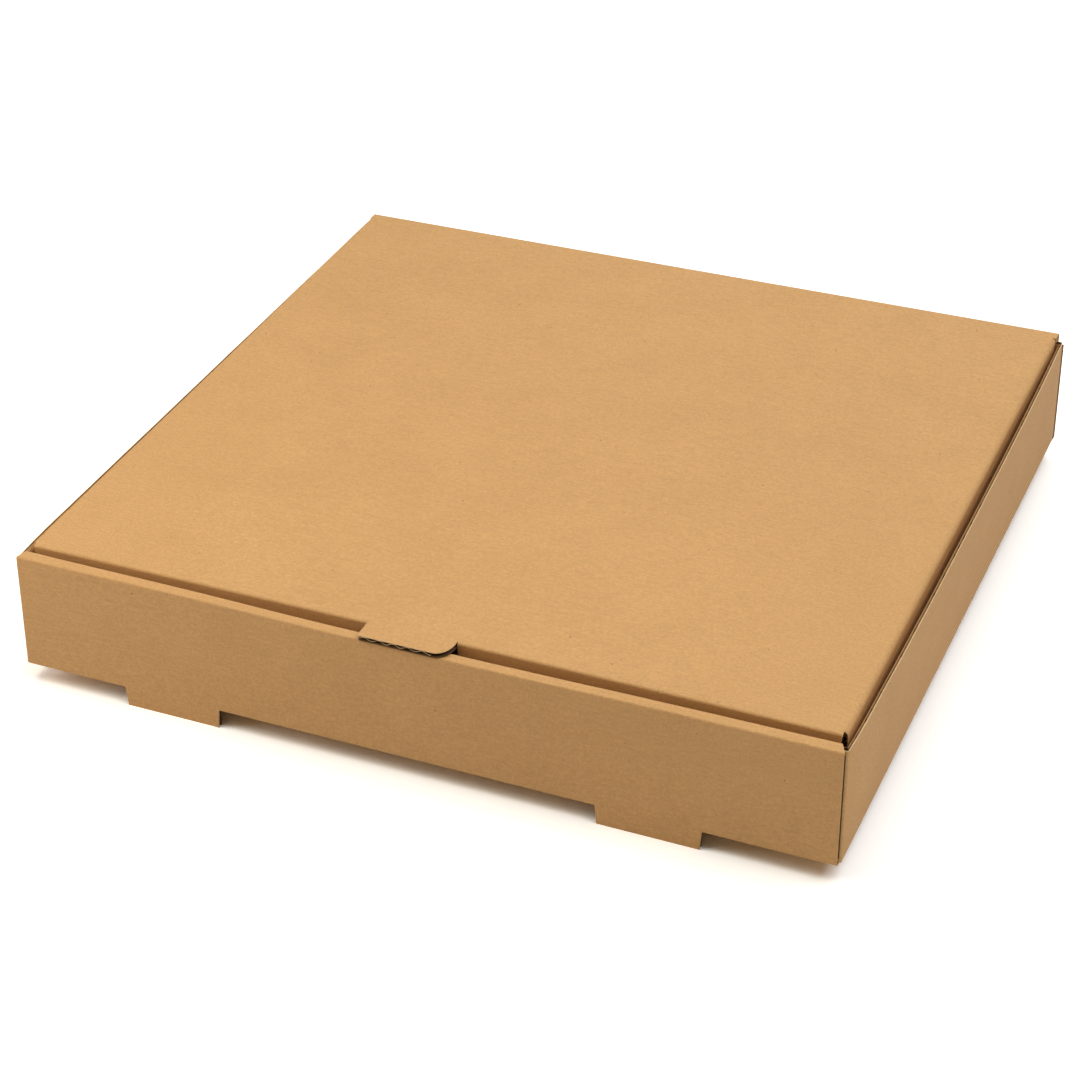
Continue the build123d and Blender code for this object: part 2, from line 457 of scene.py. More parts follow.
class ShaderBench:
    """Builds the nodes of one material.

    Attributes:
        material: The material that is being built.
        shader: Its Principled shader.
        output: Its output node.
    """

    def __init__(self, name: str) -> None:
        """Start a material with one Principled shader.

        Args:
            name: Name of the material.
        """
        self.material = bpy.data.materials.new(name)
        self.material.use_nodes = True
        self._nodes = self.material.node_tree.nodes
        self._links = self.material.node_tree.links
        self.shader = self._nodes["Principled BSDF"]
        self.output = self._nodes["Material Output"]

    def node(self, kind: str, **settings: object) -> Node:
        """Add a node.

        Args:
            kind: Blender's name of the node's type.
            settings: Properties to set on it.

        Returns:
            The node.
        """
        made = self._nodes.new(kind)
        for key, value in settings.items():
            setattr(made, key, value)
        return made

    def join(self, source: NodeSocket, target: NodeSocket) -> None:
        """Link two sockets."""
        self._links.new(source, target)

    def coordinates(self, stretch: tuple[float, float, float]) -> NodeSocket:
        """Give Object coordinates, scaled by a factor on each axis."""
        mapping = self.node("ShaderNodeMapping")
        mapping.inputs["Scale"].default_value = stretch
        source = self.node("ShaderNodeTexCoord").outputs["Object"]
        self.join(source, mapping.inputs["Vector"])
        return mapping.outputs["Vector"]

    def cloud(
        self, per_metre: tuple[float, float, float], detail: float, low: float, high: float
    ) -> NodeSocket:
        """Give a soft noise between two values.

        Args:
            per_metre: Number of its patches in a metre along each axis.
            detail: Number of finer layers in it.
            low: Its usual lowest value.
            high: Its usual highest value.

        Returns:
            The socket that gives the value.
        """
        texture = self.node("ShaderNodeTexNoise")
        texture.inputs["Scale"].default_value = 1.0
        texture.inputs["Detail"].default_value = detail
        self.join(self.coordinates(per_metre), texture.inputs["Vector"])
        usual_low, usual_high = 0.3, 0.7
        return self.ranged(texture.outputs["Fac"], usual_low, usual_high, low, high)

    def ranged(
        self, value: NodeSocket, start: float, end: float, low: float, high: float
    ) -> NodeSocket:
        """Map a value from one range onto another, held at its ends.

        Args:
            value: The socket to read.
            start: Value that becomes low.
            end: Value that becomes high.
            low: First value given.
            high: Last value given.

        Returns:
            The socket that gives the mapped value.
        """
        made = self.node("ShaderNodeMapRange", clamp=True)
        for key, number in (
            ("From Min", start), ("From Max", end), ("To Min", low), ("To Max", high),
        ):
            made.inputs[key].default_value = number
        self.join(value, made.inputs["Value"])
        return made.outputs["Result"]

    def specks(self, per_metre: float, radius: float, depth: float) -> NodeSocket:
        """Give small round spots.

        Args:
            per_metre: Number of spots in a metre along a line through the board.
            radius: Radius of a spot.
            depth: Value inside a spot, against 1 outside.

        Returns:
            The socket that gives the value.
        """
        texture = self.node("ShaderNodeTexVoronoi")
        texture.inputs["Scale"].default_value = per_metre
        self.join(self.coordinates((1, 1, 1)), texture.inputs["Vector"])
        edge = radius * per_metre
        return self.ranged(texture.outputs["Distance"], edge * 0.5, edge, depth, 1.0)

    def product(self, values: Sequence[NodeSocket]) -> NodeSocket:
        """Multiply several values together."""
        total = values[0]
        for value in values[1:]:
            step = self.node("ShaderNodeMath", operation="MULTIPLY")
            self.join(total, step.inputs[0])
            self.join(value, step.inputs[1])
            total = step.outputs[0]
        return total

    def between(self, low: Sequence[float], high: Sequence[float], share: NodeSocket) -> NodeSocket:
        """Blend two colours.

        Args:
            low: Linear colour where the share is 0.
            high: Linear colour where the share is 1.
            share: The socket that gives the share.

        Returns:
            The socket that gives the colour.
        """
        made = self.node("ShaderNodeMix", data_type="RGBA")
        first, last = (socket for socket in made.inputs if socket.type == "RGBA")
        first.default_value = (*low, 1)
        last.default_value = (*high, 1)
        self.join(share, made.inputs["Factor"])
        return next(socket for socket in made.outputs if socket.type == "RGBA")

    def shaded(self, colour: NodeSocket, strength: NodeSocket) -> NodeSocket:
        """Multiply a colour by a value."""
        made = self.node("ShaderNodeVectorMath", operation="SCALE")
        self.join(colour, made.inputs[0])
        self.join(strength, made.inputs["Scale"])
        return made.outputs[0]

    def relief(self, height: NodeSocket, depth: float) -> None:
        """Give the shader a bump.

        Args:
            height: The socket that gives the height, from 0 to 1.
            depth: Distance that a height of 1 stands for.
        """
        bump = self.node("ShaderNodeBump")
        bump.inputs["Strength"].default_value = 1.0
        bump.inputs["Distance"].default_value = depth
        self.join(height, bump.inputs["Height"])
        self.join(bump.outputs["Normal"], self.shader.inputs["Normal"])


@dataclass(frozen=True)
class KraftPaper:
    """Brown kraft paper, with mottling, fibres along X and a few dark specks.

    Attributes:
        name: Name of the material.
        deep: Linear colour of its darker patches.
        pale: Linear colour of its lighter patches.
        fibre: Depth of the fibre streaks, as a share of the colour.
        grain: Depth of the fine grain, as a share of the colour.
        speck: Share of the colour that is left in a dark speck.
        roughness: Roughness of the surface.
        sheen: Strength of its reflection.
        relief: Height of the fibres.
        patch_rate: Colour patches in a metre, along each axis.
        fibre_rate: Fibre streaks in a metre, along each axis.
        grain_rate: Grains in a metre, along each axis.
        broad_rate: Broad changes of tone in a metre, along each axis.
        relief_rate: Ridges in a metre, along each axis.
        faint_speck: Share of the colour that is left in a faint speck.
        broad: Depth of the broad changes, as a share of the colour.
    """

    name: str
    deep: tuple[float, float, float]
    pale: tuple[float, float, float]
    fibre: float = 0.05
    grain: float = 0.09
    speck: float = 0.22
    roughness: float = 0.80
    sheen: float = 0.5
    relief: float = 0.00006
    patch_rate: tuple[float, float, float] = (38, 38, 38)
    fibre_rate: tuple[float, float, float] = (170, 1500, 1500)
    grain_rate: tuple[float, float, float] = (900, 900, 900)
    broad_rate: tuple[float, float, float] = (7, 7, 7)
    relief_rate: tuple[float, float, float] = (600, 1900, 1900)
    faint_speck: float = 0.72
    broad: float = 0.015

    def make(self) -> Material:
        """Build the material."""
        bench = ShaderBench(self.name)
        patches = bench.cloud(self.patch_rate, 4.0, 0.0, 1.0)
        fibres = bench.cloud(self.fibre_rate, 2.0, 1 - self.fibre, 1 + self.fibre)
        grain = bench.cloud(self.grain_rate, 3.0, 1 - self.grain, 1 + self.grain)
        broad = bench.cloud(self.broad_rate, 1.0, 1 - self.broad, 1 + self.broad)
        specks = bench.specks(per_metre=85, radius=0.00042, depth=self.speck)
        faint = bench.specks(per_metre=190, radius=0.0003, depth=self.faint_speck)
        strength = bench.product([fibres, grain, broad, specks, faint])
        colour = bench.between(self.deep, self.pale, patches)
        bench.join(bench.shaded(colour, strength), bench.shader.inputs["Base Color"])
        bench.shader.inputs["Roughness"].default_value = self.roughness
        bench.shader.inputs["Specular IOR Level"].default_value = self.sheen
        bench.relief(bench.cloud(self.relief_rate, 3.0, 0.0, 1.0), self.relief)
        return bench.material


@dataclass(frozen=True)
class BoardFinish:
    """The three finishes of one kind of board, in the order of Surface; the third is dark painted
    shade.
    """

    liner: KraftPaper
    cut: KraftPaper
    medium: KraftPaper

    def dress(self, mesh: Mesh) -> None:
        """Give a mesh the three materials.

        Args:
            mesh: The mesh to dress.
        """
        for paper in (self.liner, self.cut, self.medium):
            known = bpy.data.materials.get(paper.name)
            mesh.materials.append(known or paper.make())


KRAFT_BOARD = BoardFinish(
    liner=KraftPaper("kraft_liner", (0.520, 0.280, 0.102), (0.546, 0.297, 0.111)),
    cut=KraftPaper(
        "liner_cut_edge", (0.640, 0.415, 0.205), (0.720, 0.480, 0.250), grain=0.12, relief=0.00012
    ),
    # Medium colour: the medium's own brown made far darker, as painted shade of the flute channels
    # and pits.
    medium=KraftPaper(
        "fluting_medium_painted_shade", (0.100, 0.054, 0.022), (0.145, 0.078, 0.033), grain=0.10, sheen=0.15,
        relief=0.0001,
    ),
)


# Pieces of the folded sheet


@dataclass
class BoardPiece:
    """A stretch of the folded sheet, built up from the board's three plies.

    Attributes:
        box: Sizes of the box.
        board: Make-up of the board.
        name: Name of the piece.
    """

    box: BoxSizes
    board: Board
    name: str = "board_piece"

    @property
    def layer(self) -> float:
        """Thickness of one board with the gap to the next one."""
        return self.board.thickness + self.box.layer_gap

    @property
    def flap_front(self) -> float:
        """Front face of a front corner flap."""
        return self.box.front + self.layer

    @property
    def flap_rear(self) -> float:
        """Rear face of a rear corner flap."""
        return self.box.rear - self.layer

    @property
    def strip(self) -> float:
        """How far the bottom panel reaches to each side before its side crease."""
        return self.box.half_width - self.box.crease_margin

    def fold_sheet(
        self, bm: BMesh, ends: tuple[float, float], corners: Sequence[tuple[float, float]],
        radii: Sequence[float],
    ) -> None:
        """Draw a sheet whose folds all run along X.

        Args:
            bm: The mesh to draw in.
            ends: Its left and its right end.
            corners: Its first edge, its folds and its last edge, along Y and Z.
            radii: Radius of each fold.
        """
        points = [Vector((ends[0], y, z)) for y, z in corners]
        edges = rounded_path(bm, points, radii, self.board.fold_segments)
        push(bm, edges, AXIS_X * (ends[1] - ends[0]))

    def skin(self, bm: BMesh, ply: Ply) -> None:
        """Draw the outer face of one ply as a sheet with no thickness.

        Args:
            bm: Empty mesh to draw in.
            ply: The ply.
        """
        raise NotImplementedError

    def flutes(self, bm: BMesh) -> None:
        """Add the medium that shows along the cut edges, which is none here."""

    def settle(self, place: Vector) -> Vector:
        """Move a place by the board's bow, which is none here."""
        return place

    def faces_out(self, bm: BMesh) -> None:
        """Turn the sheet so that its largest face looks away from the box's middle."""
        bmesh.ops.remove_doubles(bm, verts=bm.verts[:], dist=TOUCH / 10)
        bmesh.ops.recalc_face_normals(bm, faces=bm.faces[:])
        bm.normal_update()
        largest = max(bm.faces, key=lambda face: face.calc_area())
        middle = Vector((0, 0, (self.box.floor + self.box.lid_top) / 2))
        if largest.normal.dot(largest.calc_center_median() - middle) < 0:
            bmesh.ops.reverse_faces(bm, faces=bm.faces[:])

    def thicken(self, bm: BMesh, ply: Ply) -> None:
        """Give the sheet the ply's thickness and mark what its faces show.

        Args:
            bm: The sheet, facing outwards.
            ply: The ply.
        """
        outer = set(bm.verts)
        bmesh.ops.solidify(bm, geom=bm.faces[:], thickness=ply.thickness)
        for face in bm.faces:
            outside = sum(vert in outer for vert in face.verts)
            shown = ply.surface if outside == len(face.verts) else ply.rim
            face.material_index = (shown if outside else ply.back).value

    def build(self, finish: BoardFinish) -> Object:
        """Build the piece and dress it.

        Args:
            finish: Finishes of the board.

        Returns:
            The finished object, at the origin.
        """
        whole = bmesh.new()
        for ply in self.board.plies():
            bm = bmesh.new()
            self.skin(bm, ply)
            self.faces_out(bm)
            self.thicken(bm, ply)
            take_in(whole, bm)
        self.flutes(whole)
        for vert in whole.verts:
            vert.co = self.settle(vert.co)
        self.hand(whole)
        mesh = bpy.data.meshes.new(self.name)
        whole.to_mesh(mesh)
        whole.free()
        mesh.shade_smooth()
        mesh.set_sharp_from_angle(angle=SHARP_ANGLE)
        finish.dress(mesh)
        made = bpy.data.objects.new(self.name, mesh)
        bpy.context.scene.collection.objects.link(made)
        LOG.info("%s: %d faces", self.name, len(mesh.polygons))
        return made

    def hand(self, bm: BMesh) -> None:
        """Mirror the finished mesh where a piece calls for it, which is nowhere here."""


@dataclass
class FrontWall(BoardPiece):
    """Outer front wall, roll-over top, inner front wall, feet and lock tabs.

    Attributes:
        run: How far the piece reaches back along the bottom panel.
        ends: Where the wall ends along X.
        top_radius: Radius of the roll's two creases.
        low_radius: Radius of the bottom crease.
        roll_insets: How far the roll's rear edge stops short of the wall's two ends.
        roll_land: Part of the roll's end that keeps the wall's full length.
        foot_taper: How much narrower a foot is at each side of its lower edge.
        foot_round: Radius of a foot's lower corners.
        lock_slack: Room beside a lock tab in its opening.
        lean: How far the wall's top leans back.
        twists: How much further it leans back towards its left and its right end.
        crush: How far the roll's rear crease is pressed forward at its ends.
        more_crush: How much further it is pressed in its middle.
        crush_depth: How far below the roll's top that pressing ends.
        station: Distance between the lines at which the wall can bow.
        row: The same along Z, where the roll's rear crease is pressed.
        twist_ends: Shares of the half width between which the twist builds up.
        sway: How far the wall wavers along its length.
        sway_rate: How many times it does so in a metre.
        foot_segments: Number of segments in a foot's rounded corner.
    """

    name: str = "front_wall"
    run: float = 0.010
    ends: tuple[float, float] = (-0.1810, 0.1800)
    top_radius: float = 0.0009
    low_radius: float = 0.0009
    roll_insets: tuple[float, float] = (0.0017, 0.0026)
    roll_land: float = 0.0008
    foot_taper: float = 0.0008
    foot_round: float = 0.0015
    lock_slack: float = 0.0008
    lean: float = 0.0003
    twists: tuple[float, float] = (0.0011, 0.0007)
    crush: float = 0.0017
    more_crush: float = 0.0009
    crush_depth: float = 0.006
    station: float = 0.010
    row: float = 0.002
    twist_ends: tuple[float, float] = (0.15, 0.60)
    sway: float = 0.00012
    sway_rate: float = 35.0
    foot_segments: int = 4

    def skin(self, bm: BMesh, ply: Ply) -> None:
        """Draw one ply of the wall."""
        box, cut, board = self.box, ply.recess, self.board
        left, right = self.ends[0] + cut, self.ends[1] - cut
        low, high = box.floor + ply.depth, box.roll_top - ply.depth
        near_y, far_y = box.front + ply.depth, box.front + box.roll_depth - ply.depth
        lower_edge = box.floor + self.layer
        corners = [
            (box.front + self.run, low), (near_y, low), (near_y, high), (far_y, high),
            (far_y, lower_edge),
        ]
        bend, fold = self.low_bend(ply), board.radius_at(ply.depth, self.top_radius)
        self.fold_sheet(bm, (left, right), corners, [bend, fold, fold])
        score(bm, AXIS_X, self.stations(left, right, cut))
        inner_back = box.front + box.roll_depth - board.thickness - box.layer_gap / 2
        score(bm, AXIS_Y, [self.flap_front, inner_back, box.front + box.foot_drop + cut])
        score(bm, AXIS_Z, spaced(box.roll_top - self.crush_depth, high - fold, self.row))
        score(bm, AXIS_Z, [box.roll_top - board.thickness])
        self.open_bottom(bm, ply)
        self.trim_roll(bm, ply, inner_back)
        for foot in box.feet:
            self.hang_foot(bm, ply, foot, near_y, low + bend)
            self.hang_lock(bm, ply, foot, far_y, lower_edge)

    def low_bend(self, ply: Ply) -> float:
        """Radius of one ply in the bottom crease."""
        return self.board.radius_at(ply.depth, self.low_radius)

    def stations(self, left: float, right: float, cut: float) -> list[float]:
        """Places along X where the wall is scored.

        Args:
            left: Left end of the ply.
            right: Right end of the ply.
            cut: The ply's recess.

        Returns:
            The places.
        """
        places = spaced(left, right, self.station) + [-self.strip, self.strip]
        for low, high in self.box.feet:
            places += [low - cut, low + cut, high - cut, high + cut]
            places += [low + self.lock_slack + cut, high - self.lock_slack - cut]
        return places

    def open_bottom(self, bm: BMesh, ply: Ply) -> None:
        """Punch the feet's openings and leave the side creases to the side walls.

        Args:
            bm: The sheet.
            ply: The ply.
        """
        box, cut = self.box, ply.recess
        crease_top = box.floor + ply.depth + self.low_bend(ply)
        window = box.front + box.foot_drop + cut

        def inside(place: Vector) -> bool:
            """Say whether a place is in an opening of the bottom."""
            if place.z > crease_top - TOUCH:
                return False
            if abs(place.x) > self.strip and place.y > self.flap_front:
                return True
            over_foot = any(low - cut < place.x < high + cut for low, high in box.feet)
            return over_foot and place.y < window

        punch(bm, inside)

    def trim_roll(self, bm: BMesh, ply: Ply, inner_back: float) -> None:
        """Slant the ends of the roll and bring its inner layer in between the side walls.

        Args:
            bm: The sheet.
            ply: The ply.
            inner_back: A place along Y in front of the inner layer.
        """
        box = self.box
        top = box.roll_top - self.board.thickness
        for side, end, inset in zip(Side, self.ends, self.roll_insets):
            sign = side.value
            slant = Vector((box.roll_depth - self.roll_land, sign * inset, 0))
            outwards = Vector((sign * slant.x, sign * slant.y, 0)).normalized()
            land = Vector((end, box.front + self.roll_land, 0)) - outwards * ply.recess
            trim(bm, lambda p: p.z > top and p.x * sign > 0, land, outwards)
            straight = Vector((end - sign * (inset + ply.recess), 0, 0))
            trim(
                bm, lambda p: box.floor + self.low_radius < p.z < top and p.y > inner_back
                and p.x * sign > 0, straight, AXIS_X * sign,
            )

    def hang_foot(self, bm: BMesh, ply: Ply, foot: tuple[float, float], y: float, z: float) -> None:
        """Carry the wall down into one foot.

        Args:
            bm: The sheet.
            ply: The ply.
            foot: Ends of the foot along X.
            y: Where the sheet's front face lies.
            z: Where the bottom crease's rounding ends.
        """
        low, high = foot[0] + ply.recess, foot[1] - ply.recess
        rim = rim_edges(bm, lambda p: near(p.y, y) and near(p.z, z) and low < p.x < high)
        bottom = self.box.ground + ply.recess
        verts = push(bm, rim, AXIS_Z * (bottom - z))
        corners = []
        for vert in verts:
            for end, sign in ((low, 1), (high, -1)):
                if near(vert.co.x, end):
                    vert.co.x += sign * self.foot_taper
                    corners.append(vert.co.copy())
        round_rim(bm, corners, self.foot_round, self.foot_segments)

    def hang_lock(self, bm: BMesh, ply: Ply, foot: tuple[float, float], y: float, z: float) -> None:
        """Carry the inner wall down into the lock tab over one foot.

        Args:
            bm: The sheet.
            ply: The ply.
            foot: Ends of the foot along X.
            y: Where the inner wall's face lies.
            z: The inner wall's lower edge.
        """
        low = foot[0] + self.lock_slack + ply.recess
        high = foot[1] - self.lock_slack - ply.recess
        rim = rim_edges(bm, lambda p: near(p.y, y) and near(p.z, z) and low < p.x < high)
        push(bm, rim, AXIS_Z * (self.box.floor + ply.recess - z))

    def flutes(self, bm: BMesh) -> None:
        """Show the medium along the feet's lower edges."""
        y = self.box.front + self.board.thickness / 2
        inset = self.foot_taper + self.foot_round
        for low, high in self.box.feet:
            start = Vector((low + inset, y, self.box.ground + self.board.liner))
            end = Vector((high - inset, y, self.box.ground + self.board.liner))
            wave_edge(bm, start, end, AXIS_Y, AXIS_Z, self.board)

    def settle(self, place: Vector) -> Vector:
        """Lean and twist the wall and press the roll's rear crease forward."""
        share = place.x / self.box.half_width
        height = max(0.0, (place.z - self.box.floor) / self.box.front_height)
        depth = (place.y - self.box.front) / self.box.roll_depth
        if depth > 1 + TOUCH:
            return place
        near_top = max(0.0, 1 - (self.box.roll_top - place.z) / self.crush_depth)
        start, end = self.twist_ends
        turn = clamped((abs(share) - start) / (end - start))
        twist = self.twists[0 if share < 0 else 1]
        shift = self.lean + twist * turn * turn * (3 - 2 * turn)
        crush = self.crush + self.more_crush * (1 - share * share)
        sway = self.sway * noise.noise(Vector((place.x * self.sway_rate, 2.0, 0.0)))
        return place + AXIS_Y * ((shift + sway) * height - crush * depth * near_top)


@dataclass
class BottomAndRear(BoardPiece):
    """Bottom panel and rear wall, from behind the feet's openings up to the hinge crease.

    Attributes:
        run: Where the piece starts behind the front face.
        station: Distance between the lines scored along X.
    """

    name: str = "bottom_and_rear_wall"
    run: float = 0.010
    station: float = 0.030

    def skin(self, bm: BMesh, ply: Ply) -> None:
        """Draw one ply of the panel and the wall."""
        box = self.box
        left, right = ply.recess - box.half_width, box.half_width - ply.recess
        low, back = box.floor + ply.depth, box.rear - ply.depth
        corners = [(box.front + self.run, low), (back, low), (back, box.lid_top - box.seam_drop)]
        radius = self.board.radius_at(ply.depth)
        self.fold_sheet(bm, (left, right), corners, [radius])
        score(bm, AXIS_X, spaced(left, right, self.station) + [-self.strip, self.strip])
        score(bm, AXIS_Y, [self.flap_rear])
        level = low + radius
        punch(bm, lambda p: abs(p.x) > self.strip and p.y < self.flap_rear and p.z < level)


@dataclass
class SideWall(BoardPiece):
    """A side wall with its bottom crease, its raw top edge and its two corner flaps.

    Attributes:
        side: Which side of the box it is on.
        height: Height of the wall above the bottom panel's underside.
        flap_length: How far a corner flap reaches in from the wall's outer face.
        flap_height: Height of the corner flaps.
        flap_taper: How much shorter a corner flap is at its top.
        lean_front: How far the wall's top stands out at its front end.
        lean_rear: How far it stands out at its rear end.
        bow: How much further the wall's top stands out in its middle.
        edge: Thickness to which the knife has pressed the wall's top edge.
        pressed: Height of the stretch that is pressed.
        low_radius: Radius of the bottom crease.
        held: Share of the wall's length over which the front corner holds its top in.
        tilt: How far the front corner's top leans back with the front wall.
        tilt_run: Length over which that fades out.
        bow_shape: Exponent of the bow, larger for a flatter middle.
        wander: How far the wall wavers along its length.
        wander_rate: How many times it does so in a metre.
        station: Distance between the lines at which the wall can bow.
        row: The same along Z, where the top edge is pressed.
    """

    name: str = "right_side_wall"
    side: Side = Side.RIGHT
    height: float = 0.053
    flap_length: float = 0.072
    flap_height: float = 0.0506
    flap_taper: float = 0.007
    lean_front: float = 0.0004
    lean_rear: float = 0.00005
    bow: float = 0.0015
    edge: float = 0.0010
    pressed: float = 0.004
    low_radius: float = 0.0009
    held: float = 0.08
    tilt: float = 0.0008
    tilt_run: float = 0.02
    bow_shape: float = 2.6
    wander: float = 0.00015
    wander_rate: float = 28.0
    station: float = 0.012
    row: float = 0.001

    def skin(self, bm: BMesh, ply: Ply) -> None:
        """Draw one ply of the wall and its flaps."""
        box, board = self.box, self.board
        face = box.half_width - ply.depth
        flap_end = box.half_width - self.flap_length
        start = flap_end + ply.recess
        front, rear = self.flap_front + ply.depth, self.flap_rear - ply.depth
        radius, bend = board.radius_at(ply.depth), board.radius_at(ply.depth, self.low_radius)
        crease_top = box.floor + ply.depth + bend
        corners = [(start, front), (face, front), (face, rear), (start, rear)]
        points = [Vector((x, y, crease_top)) for x, y in corners]
        edges = rounded_path(bm, points, [radius] * 2, board.fold_segments)
        push(bm, edges, AXIS_Z * (box.floor + self.height - ply.recess - crease_top))
        flap_low = box.floor + self.layer + ply.recess
        flap_top = box.floor + self.flap_height - ply.recess
        score(bm, AXIS_Z, [flap_low, flap_top] + spaced(flap_low, flap_top, self.station))
        edge_low, edge_top = box.floor + self.height - self.pressed, box.floor + self.height
        score(bm, AXIS_Z, [edge_low] + spaced(edge_low, edge_top, self.row))
        inner = box.half_width - board.thickness - board.least_radius
        score(bm, AXIS_X, [inner])
        score(bm, AXIS_Y, spaced(front + radius, rear - radius, self.station))
        punch(bm, lambda p: p.x < inner and not flap_low < p.z < flap_top)
        for vert in bm.verts:
            in_corner = vert.co.y < front + radius - TOUCH or vert.co.y > rear - radius + TOUCH
            if in_corner and near(vert.co.z, crease_top) and vert.co.x > inner:
                vert.co.z = box.floor + ply.depth / 2
        base = Vector((start, 0, box.floor))
        rise = Vector((self.flap_taper, 0, self.flap_height))
        outwards = Vector((-rise.z, 0, rise.x)).normalized()
        trim(bm, lambda p: p.x < inner, base, outwards)
        self.fold_bottom(bm, face, (front + radius, rear - radius), crease_top, bend)

    def fold_bottom(
        self, bm: BMesh, face: float, run: tuple[float, float], level: float,
        bend: float,
    ) -> None:
        """Turn the wall's lower edge round the bottom crease into the bottom panel.

        Args:
            bm: The sheet, with the wall standing on the crease's rounding.
            face: Where the wall stands along X.
            run: Ends of the straight stretch of the wall along Y.
            level: The wall's lower edge.
            bend: Radius of the crease.
        """
        rim = rim_edges(
            bm, lambda p: near(p.z, level) and near(p.x, face)
            and run[0] - TOUCH < p.y < run[1] + TOUCH,
        )
        turned = bmesh.ops.spin(
            bm, geom=rim, cent=Vector((face - bend, 0, level)), axis=AXIS_Y, angle=math.pi / 2,
            steps=self.board.fold_segments, use_duplicate=False,
        )["geom_last"]
        last = [item for item in turned if isinstance(item, BMEdge)]
        inner = self.box.half_width - self.box.crease_margin
        push(bm, last, AXIS_X * (inner - face + bend))

    def flutes(self, bm: BMesh) -> None:
        """Show the medium along the top edge and along the free ends of the corner flaps."""
        box, board = self.box, self.board
        top = box.floor + self.height
        ends = (self.flap_front + board.fold_radius, self.flap_rear - board.fold_radius)
        start, end = (Vector((box.half_width - board.liner, y, top)) for y in ends)
        pitted_edge(bm, start, end, -AXIS_X, -AXIS_Z, board)
        low = box.floor + self.layer
        top = box.floor + self.flap_height
        slope = self.flap_taper / self.flap_height
        flap_end = box.half_width - self.flap_length + board.liner
        for y in (self.flap_front + board.thickness / 2, self.flap_rear - board.thickness / 2):
            start = Vector((flap_end + slope * (low - box.floor), y, low + board.liner))
            end = Vector((flap_end + slope * (top - box.floor), y, top - board.liner))
            wave_edge(bm, start, end, AXIS_Y, AXIS_X, board)

    def settle(self, place: Vector) -> Vector:
        """Lean the wall outwards and bow it, both more towards its top."""
        box = self.box
        level = box.floor + self.low_radius
        height = max(0.0, (place.z - level) / (self.height - self.low_radius))
        along = clamped((place.y - self.flap_front) / (self.flap_rear - self.flap_front))
        flap_end = box.half_width - self.flap_length
        hold = clamped((place.x - flap_end) / (self.flap_length - self.board.thickness))
        lean = self.lean_front + (self.lean_rear - self.lean_front) * along
        lean *= 1 - max(0.0, 1 - along / self.held) ** 2
        bow = self.bow * (1 - abs(2 * along - 1) ** self.bow_shape)
        own = self.side.value * 5.0
        wander = self.wander * noise.noise(Vector((0.0, place.y * self.wander_rate, own)))
        tilt = self.tilt * height * max(0.0, 1 - (place.y - self.flap_front) / self.tilt_run)
        outwards = hold * height * (lean + bow + wander) + self.squeeze(place)
        return place + AXIS_X * outwards + AXIS_Y * tilt

    def squeeze(self, place: Vector) -> float:
        """Say how far a place moves outwards where the top edge is pressed thin.

        Args:
            place: A place on the wall before it leans.

        Returns:
            The distance, which is 0 on the outer face and away from the edge.
        """
        board = self.board
        depth = self.box.half_width - place.x
        if not board.liner < depth < board.thickness + TOUCH:
            return 0.0
        top = self.box.floor + self.height
        share = clamped((place.z - top + self.pressed) / self.pressed)
        left_over = (self.edge - board.liner) / (board.thickness - board.liner)
        return (depth - board.liner) * share * share * (1 - left_over)

    def hand(self, bm: BMesh) -> None:
        """Mirror the wall where it belongs on the left."""
        if self.side is Side.LEFT:
            bmesh.ops.scale(bm, verts=bm.verts[:], vec=Vector((-1, 1, 1)))
            bmesh.ops.reverse_faces(bm, faces=bm.faces[:])


